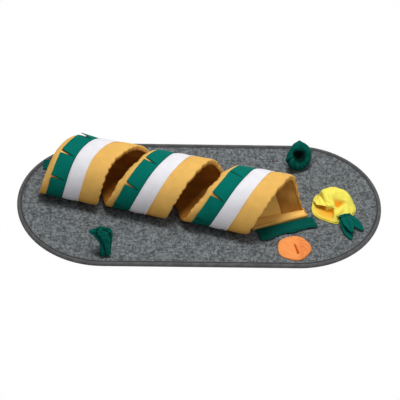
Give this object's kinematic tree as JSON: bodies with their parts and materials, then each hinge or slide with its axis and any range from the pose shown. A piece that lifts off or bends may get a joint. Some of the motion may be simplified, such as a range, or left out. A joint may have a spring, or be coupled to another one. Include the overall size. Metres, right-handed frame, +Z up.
{
  "type": "pet play mat",
  "caption": "Flat oval felt play mat for a small pet with a padded striped spiral tunnel and sewn treat pockets, leaves and cloth strips.",
  "frame": {"origin": "on the ground under the middle of the mat", "axes": "+X along the mat's long side, towards the end with the yellow pouch; +Y to the back; +Z up"},
  "size_m": [1, 0.47, 0.1538],
  "materials": {
    "felt": "mottled grey felt",
    "wadding": "matt white wadding",
    "backing": "dotted anti-slip rubber",
    "binding": "matt woven tape",
    "lining": "matt brushed cloth",
    "mustard": "matt brushed cloth",
    "green": "matt brushed cloth",
    "white": "matt brushed cloth",
    "hook_tape": "hook tape",
    "yellow": "matt brushed cloth",
    "orange": "matt brushed cloth"
  },
  "bodies": {
    "mat": {"felt_top": "felt", "mat_padding": "wadding", "anti_slip_backing": "backing", "edge_binding": "binding", "yellow_pouch_base": "yellow", "yellow_pouch_top": "yellow", "orange_pocket_base": "orange", "orange_pocket_top": "orange"},
    "tunnel": {"tunnel_padding": "wadding", "tunnel_lining": "lining", "left_edge_band": "mustard", "green_band": "green", "white_band": "white", "mustard_band": "mustard"},
    "right_tab": {"right_end_tab": "green", "right_tab_hook_tape": "hook_tape"},
    "left_tab": {"left_end_tab": "green", "left_tab_hook_tape": "hook_tape"},
    "pouch_flap": {"yellow_pouch_flap": "yellow"},
    "upper_leaf": {"leaf_middle": "green"},
    "lower_leaves": {"leaf_lower": "green", "leaf_right": "green"},
    "knot": {"front_left_knot": "green"},
    "loop": {"back_right_loop": "green"}
  },
  "joints": [
    {"name": "tunnel_lift", "type": "slide", "parent": "mat", "child": "tunnel", "axis": [0, 0, 1], "range_m": [0, 0.15]},
    {"name": "right_tab_peel", "type": "hinge", "parent": "tunnel", "child": "right_tab", "pos_m": [0.15254, -0.09987, 0.0142], "axis": [-0.945, -0.3271, 0], "range_deg": [0, 60]},
    {"name": "left_tab_peel", "type": "hinge", "parent": "tunnel", "child": "left_tab", "pos_m": [-0.4374, 0.12167, 0.0142], "axis": [0.9981, -0.0616, 0], "range_deg": [0, 60]},
    {"name": "pouch_flap_lift", "type": "hinge", "parent": "mat", "child": "pouch_flap", "pos_m": [0.323, 0.019, 0.0178], "axis": [-0.5836, -0.812, 0], "range_deg": [0, 60]},
    {"name": "upper_leaf_lift", "type": "hinge", "parent": "mat", "child": "upper_leaf", "pos_m": [0.392, -0.054, 0.0292], "axis": [-0.9231, -0.3846, 0], "range_deg": [0, 60]},
    {"name": "lower_leaves_lift", "type": "hinge", "parent": "mat", "child": "lower_leaves", "pos_m": [0.392, -0.054, 0.0292], "axis": [-0.9231, -0.3846, 0], "range_deg": [0, 30]},
    {"name": "knot_tilt", "type": "hinge", "parent": "mat", "child": "knot", "pos_m": [-0.26, -0.2, 0.0243], "axis": [0, 1, 0], "range_deg": [-12, 12], "stiffness_Nm_per_rad": 0.06},
    {"name": "loop_tilt", "type": "hinge", "parent": "mat", "child": "loop", "pos_m": [0.2798, 0.1421, 0.0268], "axis": [0.8829, 0.4695, 0], "range_deg": [-12, 12], "stiffness_Nm_per_rad": 0.06}
  ],
  "couplings": [
    {"joint": "lower_leaves_lift", "follows": "upper_leaf_lift", "ratio": 0.5}
  ]
}
